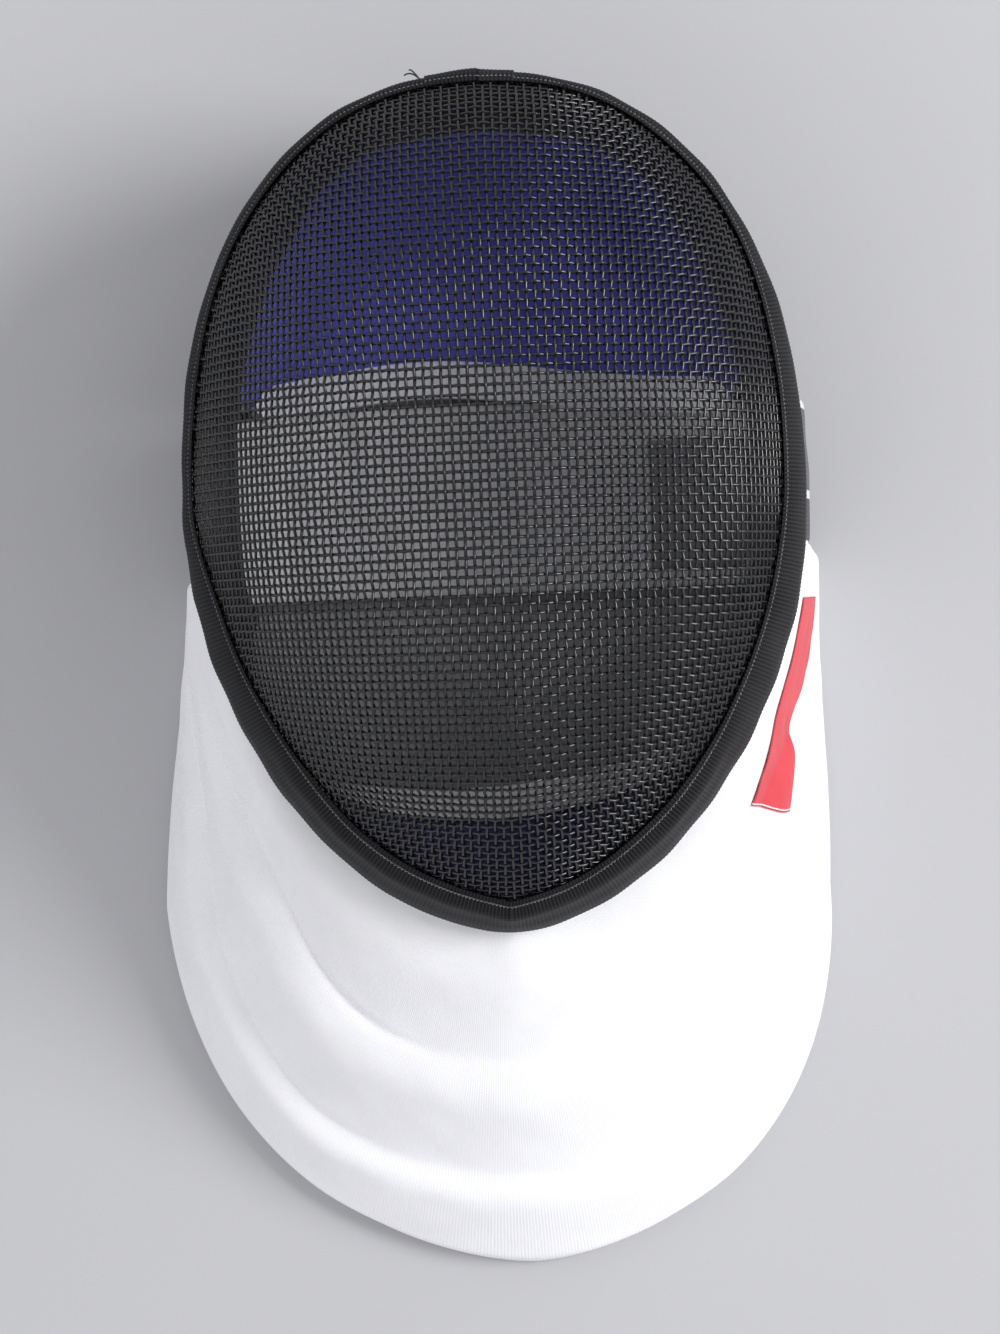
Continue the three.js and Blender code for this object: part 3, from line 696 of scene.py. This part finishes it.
# Rear trim
rear = {"height": 0.011, "thickness": 0.0015, "pitch": 0.0012, "puff": 0.0003, "rowPitch": 0.0018}
rearTurns = evenTurns(-sides["turn"], sides["turn"], rear["pitch"])
rearLength = np.arange(len(rearTurns)) * rear["pitch"]
tipDepth = 1 - rear["height"] / face["sideRim"]
tip, foot, out = sideFace(rearTurns, tipDepth), sideFace(rearTurns, 1), rimOutward(rearTurns)
seat, outside = face["seat"], face["seat"] + rear["thickness"]
within = -(face["wire"] + face["seat"])
inmost = within - rear["thickness"]
puff = rear["puff"] * (1 + 0.5 * ripple(rearLength, 0, 9, 5, 0.04))
layers = []
for share, offset, height in (
        (0, seat, 1), (0, outside * 0.6, 1.03), (0, outside, 0.96), (0.4, outside + puff, 0.6),
        (0.8, outside + puff, 0.2), (1, outside * 0.8, 0.05), (1, outside * 0.3, 0), (1, within, 0),
        (1, within - rear["thickness"] * 0.8, 0.05), (0.8, inmost - puff, 0.2), (0.4, inmost - puff, 0.6),
        (0, inmost, 0.96), (0, within - rear["thickness"] * 0.6, 1.03), (0, within, 1),
        (0.8, within, 0.25), (1, within, 0.17), (1, seat, 0.17), (0.8, seat, 0.25), (0, seat, 1)):
    spot = lerp(tip, foot, share) + out * np.broadcast_to(np.asarray(offset), len(out))[:, None]
    spot[:, 2] = height * tip[:, 2]
    layers.append(spot)
layers = np.stack(layers, 1)
rearUv = np.stack(np.meshgrid(rearLength, np.arange(layers.shape[1]) * rear["rowPitch"], indexing="ij"), -1)
rearTrim = settle(gridPiece("rearTrim", layers, rearUv), "rear_trim", tapeCloth)
print("trims made", len(trim.data.polygons), float(tapeLength[-1]), float(rearLength[-1]))

# Bib
bib = {
    "earTurn": 100, "half": 0.124, "earHalf": 0.114, "earY": -0.023, "cornerY": -0.140, "reach": 0.2838,
    "sideReach": 0.120, "chinReach": 0.026, "chinRound": 0.06, "padding": 0.0045, "topEdge": 0.0014,
    "topIn": 0.0006, "bulge": 0.006, "step": 0.0055, "groove": 0.0011, "grooveSpread": 0.014,
    "fold": 0.0003, "foldPitch": 0.034, "crumple": 0.00012, "crumplePitch": 0.022, "chinPasses": 90,
    "earTuck": 0.0028, "earRise": 2.2, "earIn": 0.0032, "earRound": 0.03, "earSwell": 0.016,
    "hemHeight": 0.007, "hemRound": 0.0042, "across": 0.34, "around": 0.31,
    "stations": 361, "drops": 112, "simStations": 151, "simDrops": 46,
}
hemLean = np.array([(0, 2.4), (0.2, -0.4), (0.45, -4.4), (0.6, -1.6), (0.8, 1.8), (1, 4.2)])
seams = np.array([
    (0.358, 0.715), (0.38, 0.74), (0.38, 0.76), (0.342, 0.73), (0.28, 0.69), (0.25, 0.625),
    (0.265, 0.53), (0.28, 0.49), (0.28, 0.49), (0.28, 0.5), (0.28, 0.5),
])


def hemLine():
    t = np.linspace(0, 1, 300)[:, None]
    ear, corner = np.array([bib["earHalf"], bib["earY"]]), np.array([bib["half"], bib["cornerY"]])
    middleEar = np.array([bib["half"], lerp(bib["earY"], bib["cornerY"], 0.4)])
    end = np.array([0, -bib["reach"]])
    first = (1 - t) ** 2 * ear + 2 * t * (1 - t) * middleEar + t * t * corner
    pull, push = corner - np.array([0, bib["sideReach"]]), np.array([bib["chinReach"], -bib["reach"]])
    second = (1 - t) ** 3 * corner + 3 * t * (1 - t) ** 2 * pull + 3 * t * t * (1 - t) * push + t ** 3 * end
    path = np.concatenate([first, second[1:]])
    length = np.insert(np.cumsum(np.linalg.norm(np.diff(path, axis=0), axis=1)), 0, 0)
    return path, length / length[-1]


hemPath, hemLength = hemLine()


def seamAt(station):  # shares of the drop at which the seams lie, rounded over the chin
    away = np.minimum(1, np.hypot(station, bib["chinRound"]) - bib["chinRound"])
    lines = [curveThrough(seams[:, i], away * (len(seams) - 1)) for i in (0, 1)]
    return np.stack([0 * away, *lines, 0 * away + 1], -1)


def bibFrame(station):  # station 0 is the chin, -1 the left ear and 1 the right ear
    side = np.where(station < 0, -1.0, 1.0)
    towardsChin = 1 - np.minimum(1, np.abs(station))
    nearEar = 1 - smooth(towardsChin, 0, 0.2)
    turn = side * (lerp(bib["earTurn"], 180, towardsChin) - bib["earRise"] * nearEar * (side > 0))
    top = rimPoint(turn) + rimOutward(turn) * (face["seat"] + tape["thickness"])
    top[..., 2] -= tape["drop"] + face["seat"]
    along = towardsChin ** 1.25
    sway = np.interp(towardsChin, hemLean[:, 0], hemLean[:, 1] / 1000)
    hem = np.stack([side * np.interp(along, hemLength, hemPath[:, 0]) + sway,
                    np.interp(along, hemLength, hemPath[:, 1]), np.full_like(along, bib["hemHeight"])], -1)
    hem[..., 0] += bib["earIn"] * nearEar * (side < 0)
    hem[..., 1] += bib["earRise"] * 0.0018 * nearEar * (side > 0)
    fall = hem - top
    flat = np.linalg.norm(fall[..., :2], axis=-1, keepdims=True)
    normal = unit(np.concatenate([fall[..., :2] / flat * -fall[..., 2:], flat], -1))
    return towardsChin, top, fall, normal


def bibProud(station, drop):  # how far the outside stands off the straight fall
    towardsChin = 1 - np.minimum(1, np.abs(station))
    edges = seamAt(station)
    index = (drop > edges[..., 1]).astype(int) + (drop > edges[..., 2])
    start = np.take_along_axis(edges, index[..., None], -1)[..., 0]
    end = np.take_along_axis(edges, index[..., None] + 1, -1)[..., 0]
    within = np.clip((drop - start) / (end - start), 0, 1)
    shown = smooth(towardsChin, 0.12, 0.5)
    width = np.choose(index, [0.6, 0.45, 0.5])
    rise = 1 - (1 - np.clip(within / width, 0, 1)) ** 2
    rise = np.where(index == 1, rise, rise * rise * (3 - 2 * rise))
    plump = rise * (1 - np.where(index == 2, 0.35, 1) * smooth(within, 0.12, 1.0))
    tuck = bib["earTuck"] * (1 - smooth(towardsChin, 0, 0.035)) * smooth(drop, 0.05, 0.3)
    grooves = sum(np.exp(-((drop - edges[..., i]) / bib["grooveSpread"]) ** 2) for i in (1, 2))
    tuck = tuck + bib["groove"] * grooves * window(station, -0.66, -0.3, 0.2)
    return bib["bulge"] * 4 * drop * (1 - drop) + bib["step"] * shown * plump - tuck


def bibPlace(station, drop, offset):
    bow = bib["earSwell"] * np.sin(math.pi * drop ** 0.7) - bib["earRound"] * drop ** 4
    station = station * (1 + bow * smooth(np.abs(station), 0.88, 1))
    _, top, fall, normal = bibFrame(station)
    proud = bibProud(station, drop) + offset
    return top + fall * drop[..., None] + normal * proud[..., None]


def bibShell(stationCount, dropCount):  # ring of each section: outside, round the hem, inside, top edge
    stations = np.linspace(-1, 1, stationCount)
    outside = np.linspace(0, 1, dropCount)
    inside = np.linspace(1, 0, dropCount // 3)
    station, drop = np.meshgrid(stations, outside, indexing="ij")
    ends = smooth(1 - np.abs(stations), -0.004, 0.02)[:, None]
    outerFace = bibPlace(station, drop, 0 * drop - bib["topIn"] * (1 - smooth(drop, 0, 0.03)))
    normal = bibFrame(stations)[3]
    inwards = unit(-normal * np.array([1, 1, 0]))
    hem = outerFace[:, -1]
    roll = []
    for angle in np.radians([20, 45, 75, 105, 135, 160]):
        spot = hem + inwards * (bib["hemRound"] * (1 - math.cos(angle)))
        spot[:, 2] = bib["hemHeight"] * (1 - 0.97 * math.sin(angle) ** 0.8)
        roll.append(spot)
    station, drop = np.meshgrid(stations, inside, indexing="ij")
    thickness = lerp(bib["topEdge"], bib["padding"], smooth(drop, 0, 0.27)) * lerp(0.25, 1, ends)
    innerFace = bibPlace(station, drop, -thickness)
    innerFace[:, 0] = hem + inwards * (2 * bib["hemRound"] + 0.001)
    innerFace[:, 0, 2] = bib["hemHeight"] * 1.3
    return np.concatenate([outerFace, np.stack(roll, 1), innerFace, outerFace[:, :1]], 1), stations


bibCloth = {
    "stiffness": 12, "bending": 2.0, "pressure": 1.5, "slack": 0.006, "cap": 0.0014,
    "seamHold": 0.012, "endHold": 0.985, "topHold": 0.03,
}
coarse, coarseStations = bibShell(bib["simStations"], bib["simDrops"])
softMove = np.zeros_like(coarse)
soft = gridPiece("bibSoft", coarse, np.zeros(coarse.shape[:2] + (2,)))
spots = coordinates(soft.data) - middle
finder = KDTree(coarse.shape[0] * coarse.shape[1])
for i, spot in enumerate(coarse.reshape(-1, 3)):
    finder.insert(spot, i)
finder.balance()
match = np.array([finder.find(Vector(s))[1] for s in spots])
column, row = match // coarse.shape[1], match % coarse.shape[1]
last = bib["simDrops"] - 1
drop = np.linspace(0, 1, bib["simDrops"])[np.clip(row, 0, last)]
edges = seamAt(coarseStations[column])
toSeam = np.minimum(np.abs(drop - edges[:, 1]), np.abs(drop - edges[:, 2]))
atBorder = (drop < bibCloth["topHold"]) | (drop > bibCloth["endHold"])
atBorder = atBorder | (np.abs(coarseStations[column]) > bibCloth["endHold"])
held = np.flatnonzero((row > last) | atBorder | (toSeam < bibCloth["seamHold"]))
puffed(soft, held, bibCloth)
moved = coordinates(soft.data) - middle - spots
softMove[column, row] = moved
bpy.data.objects.remove(soft)
print("bib cloth settled", float(np.abs(moved).max()))


def upsample(table, columns, rows):
    i = np.linspace(0, table.shape[0] - 1, columns)
    j = np.linspace(0, table.shape[1] - 1, rows)
    i0, j0 = np.minimum(i.astype(int), table.shape[0] - 2), np.minimum(j.astype(int), table.shape[1] - 2)
    s, t = (i - i0)[:, None, None], (j - j0)[None, :, None]
    near = lerp(table[i0][:, j0], table[i0 + 1][:, j0], s)
    far = lerp(table[i0][:, j0 + 1], table[i0 + 1][:, j0 + 1], s)
    return lerp(near, far, t)


fine, fineStations = bibShell(bib["stations"], bib["drops"])
downDrop = smooth(np.linspace(0, 1, bib["drops"]), 0, 0.12)
acrossChin = window(fineStations, -0.12, 0.12, 0.1)[:, None] * downDrop
for _ in range(bib["chinPasses"]):
    middleOf = (fine[:-2, : bib["drops"]] + fine[2:, : bib["drops"]]) / 2
    fine[1:-1, : bib["drops"]] = lerp(fine[1:-1, : bib["drops"]], middleOf, acrossChin[1:-1, :, None])
outsideMove = upsample(softMove[:, : bib["simDrops"]], bib["stations"], bib["drops"])
station, drop = np.meshgrid(fineStations, np.linspace(0, 1, bib["drops"]), indexing="ij")
calm = 1 - window(station, 0.5, 1.0, 0.05) * window(drop, 0.05, 0.46, 0.04)  # still under the label
normal = bibFrame(station)[3]
waves = np.sin((drop * 0.16 + station * 0.05) * 2 * math.pi / bib["foldPitch"] + 1.4 * np.sin(station * 9))
folds = bib["fold"] * smooth(-station, 0.35, 0.75) * window(drop, 0.15, 0.8, 0.1) * waves
folds = folds * (0.6 + 0.4 * np.sin(drop * 17))
crumple = ripple(station * bib["across"], drop * 0.17, 11, 9, bib["crumplePitch"])
crumple = crumple * window(drop, 0.05, 0.97, 0.05)
relief = (folds + bib["crumple"] * crumple) * calm
fine[:, : bib["drops"]] += outsideMove * calm[..., None] + normal * relief[..., None]
fine[:, -1] = fine[:, 0]
bibUv = shellUv(fineStations * bib["across"], bib["around"], fine)
bibPiece = gridPiece("bibCover", fine, bibUv)
settle(bibPiece, "bib", knitWhite)
print("bib made", len(bibPiece.data.polygons))

# Label
label = {"seat": 0.0003, "thickness": 0.0005, "slant": 0.028, "curl": 0.00025, "around": 0.06}
labelRows = np.array([
    (0.597, 0.185, 0.41), (0.625, 0.165, 0.38), (0.675, 0.12, 0.33), (0.715, 0.09, 0.25),
    (0.755, 0.09, 0.28), (0.83, 0.11, 0.31), (0.905, 0.11, 0.32),
])
labelStations = np.linspace(labelRows[0, 0], labelRows[-1, 0], 90)
across = np.linspace(0, 1, 26)
station, share = np.meshgrid(labelStations, across, indexing="ij")
rowAt = np.interp(station, labelRows[:, 0], np.arange(len(labelRows)))
drop = lerp(curveThrough(labelRows[:, 1], rowAt), curveThrough(labelRows[:, 2], rowAt), share)
station = station - label["slant"] * (1 - share) * (1 - smooth(station, labelRows[0, 0], 0.7))
curl = label["curl"] * ripple(station * bib["across"], share * 0.03, 21, 5, 0.02)
lift = label["seat"] + np.abs(curl)
shell = closedShell(bibPlace(station, drop, lift + label["thickness"]), bibPlace(station, drop, lift))
labelUv = shellUv(labelStations * bib["across"], label["around"], shell)
labelPiece = gridPiece("sideLabel", shell, labelUv)
settle(labelPiece, "side_label", labelRed)
print("label made")

# Inside padding
stuffing = {
    "voxel": 0.0039, "inset": 0.0008, "hold": 0.009,
    "stiffness": 10, "bending": 0.6, "pressure": 4.0, "slack": 0.01,
}
bindingBevel = 0.0004


def stuffed(node, name, cap, near=None):
    piece = nodeCopy(node, name)
    remesh = piece.modifiers.new("remesh", "REMESH")
    remesh.mode = "VOXEL"
    remesh.voxel_size = stuffing["voxel"]
    baked(piece)
    piece.data.shade_smooth()
    spots = coordinates(piece.data)
    flat = np.zeros(len(spots) * 3)
    piece.data.vertices.foreach_get("normal", flat)
    piece.data.vertices.foreach_set("co", (spots - flat.reshape(-1, 3) * stuffing["inset"]).ravel())
    held = []
    if near:
        finder = KDTree(len(nodes[near].data.vertices))
        for v in nodes[near].data.vertices:
            finder.insert(v.co, v.index)
        finder.balance()
        held = [i for i, s in enumerate(spots) if finder.find(Vector(s))[2] < stuffing["hold"]]
    puffed(piece, held, {**stuffing, "cap": cap})
    return subdivided(piece)


for node, name, slot, material, cap, near in (
        ("crown_lining", "crownLining", "blue_lining", liningBlue, 0.0016, "lining_binding"),
        ("rim_pad", "rimPad", "black_pad", padBlack, 0.0015, None),
        ("chin_pad", "chinPad", "navy_pad", padNavy, 0.0015, "chin_binding")):
    piece = stuffed(node, name, cap, near)
    settle(piece, node, material)
    print(name, len(piece.data.polygons))

for node, name, material, flat, pad in (
        ("lining_binding", "liningBinding", bindingWhite, (0.0305, 0.21), "crown_lining"),
        # the chin binding takes the white binding painted grey, as painted shade
        ("chin_binding", "chinBinding", bindingWhitePaintedShade, (0.0245, 0.167), "chin_pad")):
    piece = nodeCopy(node, name)
    bm = bmesh.new()
    bm.from_mesh(piece.data)
    bmesh.ops.remove_doubles(bm, verts=bm.verts, dist=1e-6)
    bm.to_mesh(piece.data)
    bm.free()
    bevel = piece.modifiers.new("bevel", "BEVEL")
    bevel.width = bindingBevel
    bevel.segments = 2
    bevel.limit_method = "ANGLE"
    subdivided(piece)
    settle(piece, node, material)
print("padding made")

# Strap
strap = {
    "fromY": -0.0315, "toY": 0.034, "thickness": 0.002, "floor": 0.007, "seat": 0.0006,
    "arch": 0.0075, "wrinkle": 0.0007,
}
spanList = [  # share of the half width, height
    (1, 0.046), (1, 0.032), (0.96, 0.020), (0.86, 0.012), (0.6, 0.008), (0.3, 0.007),
]
spans = np.array([(-s, h) for s, h in spanList] + [(0, strap["floor"])] + spanList[::-1])


def sideHalf(y, z):
    power = np.where(y >= 0, face["crownSquareness"], face["chinSquareness"])
    reach = np.where(y >= 0, face["crownReach"], face["chinReach"])
    rim = face["half"] * (1 - np.abs(y / reach) ** power) ** (1 / power)
    return rim + sideOffset(1 - z / face["sideRim"])


def strapPlace(t, y, lift):
    def spot(at):
        span, height = curveThrough(spans[:, 0], at), curveThrough(spans[:, 1], at)
        span = np.clip(span, -1, 1)
        return np.stack([span * (sideHalf(y, height) - face["wire"] - strap["seat"]), y, height], -1)
    way = spot(t + 0.05) - spot(t - 0.05)
    normal = unit(np.stack([-way[..., 2], 0 * y, way[..., 0]], -1))
    return spot(t) + normal * lift[..., None]


def strapPiece(name, along, reach, lift, thickness, steps, wrinkle, arch=0):
    t, y = np.meshgrid(np.linspace(*along, steps[0]), np.linspace(*reach, steps[1]), indexing="ij")
    x = (t - 6) * 0.02
    relief = ripple(x, y * 0.25, 31, 6, 0.02) + 0.6 * ripple(x, y * 0.4, 37, 6, 0.009)
    relief = wrinkle * relief * window(t, 1, 11, 1)
    half = roundedHalf(np.minimum(y - reach[0], reach[1] - y), thickness)
    if arch:
        y = y + arch * (y - reach[0]) / (reach[1] - reach[0]) * (1 - ((t - 6) / 6) ** 2)
    centre = lift + thickness / 2 + relief
    shell = closedShell(strapPlace(t, y, centre + half), strapPlace(t, y, centre - half))
    return gridPiece(name, shell, shellUv(x[:, 0], 2 * (reach[1] - reach[0]), shell))


backStrap = strapPiece(
    "backStrap", (0, 12), (strap["fromY"], strap["toY"]), 0, strap["thickness"], (150, 34),
    strap["wrinkle"], strap["arch"])
settle(backStrap, "back_strap", elasticGrey)
patch = {"lift": 0.0027, "thickness": 0.0016, "low": 0.008, "high": 0.009, "wrinkle": 0.0002}
fastener = strapPiece(
    "strapFastener", (8, 10), (strap["fromY"] + patch["low"], strap["toY"] - patch["high"]),
    patch["lift"], patch["thickness"], (50, 30), patch["wrinkle"])
settle(fastener, "strap_fastener", hookPatch)

tab = {"fromY": -0.018, "low": 0.022, "high": 0.095, "thickness": 0.0016, "bow": 0.0013, "wave": 0.0003}
tall = tab["high"] - tab["low"]
tabYs, tabZs = np.linspace(tab["fromY"], strap["toY"], 40), np.linspace(tab["low"], tab["high"], 50)
y, z = np.meshgrid(tabYs, tabZs, indexing="ij")
sideEdge = np.minimum(y - tab["fromY"], strap["toY"] - y)
endEdge = np.minimum(z - tab["low"], tab["high"] - z)
half = roundedHalf(np.minimum(sideEdge, endEdge), tab["thickness"])
wave = tab["wave"] * ripple(y, z, 41, 5, 0.03) + tab["bow"] * np.sin(math.pi * (z - tab["low"]) / tall)
centre = sideHalf(y, z) + strap["seat"] + tab["thickness"] / 2 + wave
shell = closedShell(np.stack([centre + half, y, z], -1), np.stack([centre - half, y, z], -1))
tabUv = shellUv(y[:, 0], 2 * tall, shell)
tabPiece = gridPiece("strapTab", shell, tabUv)
settle(tabPiece, "strap_tab", tabCloth)
print("strap made")

# Floor and light
studio = {
    "floorSize": 9, "floorDark": (0.452, 0.453, 0.47), "floorLight": (0.472, 0.473, 0.488),
    "world": 1.09, "sky": (0.9, 0.905, 0.93), "overhead": ((0.0, 1.0), (0.72, 1.0), (0.93, 0.45)),
    "key": 72.0, "keySize": 1.4, "keyPlace": (2.25, 0.4, 2.1), "keyTarget": (0, 0, 0.05),
}
bm = bmesh.new()
bmesh.ops.create_grid(bm, x_segments=12, y_segments=12, size=studio["floorSize"])
floorMesh = bpy.data.meshes.new("floor")
bm.to_mesh(floorMesh)
bm.free()
floor = show(floorMesh, "floor")
floorGrey = speckled("floorGrey", studio["floorDark"], studio["floorLight"], 3, (0.3, 0.75), 0.8)
bump(floorGrey, noise(floorGrey, 400), 0.0001, 0.3)
floor.data.materials.append(floorGrey)

world = bpy.data.worlds.new("world")
world.use_nodes = True
sky = addNode(world, "ShaderNodeSeparateXYZ")
join(world, places(world, "Generated"), sky.inputs[0])
overhead = [(at, tuple(level * c for c in studio["sky"])) for at, level in studio["overhead"]]
join(world, ramp(world, sky.outputs[2], overhead), world.node_tree.nodes["Background"].inputs["Color"])
world.node_tree.nodes["Background"].inputs["Strength"].default_value = studio["world"]
scene.world = world

lamp = bpy.data.lights.new("key", "AREA")
lamp.shape = "DISK"
lamp.size = studio["keySize"]
lamp.energy = studio["key"]
key = bpy.data.objects.new("key", lamp)
key.location = studio["keyPlace"]
key.rotation_euler = (Vector(studio["keyTarget"]) - key.location).to_track_quat("-Z", "Y").to_euler()
scene.collection.objects.link(key)
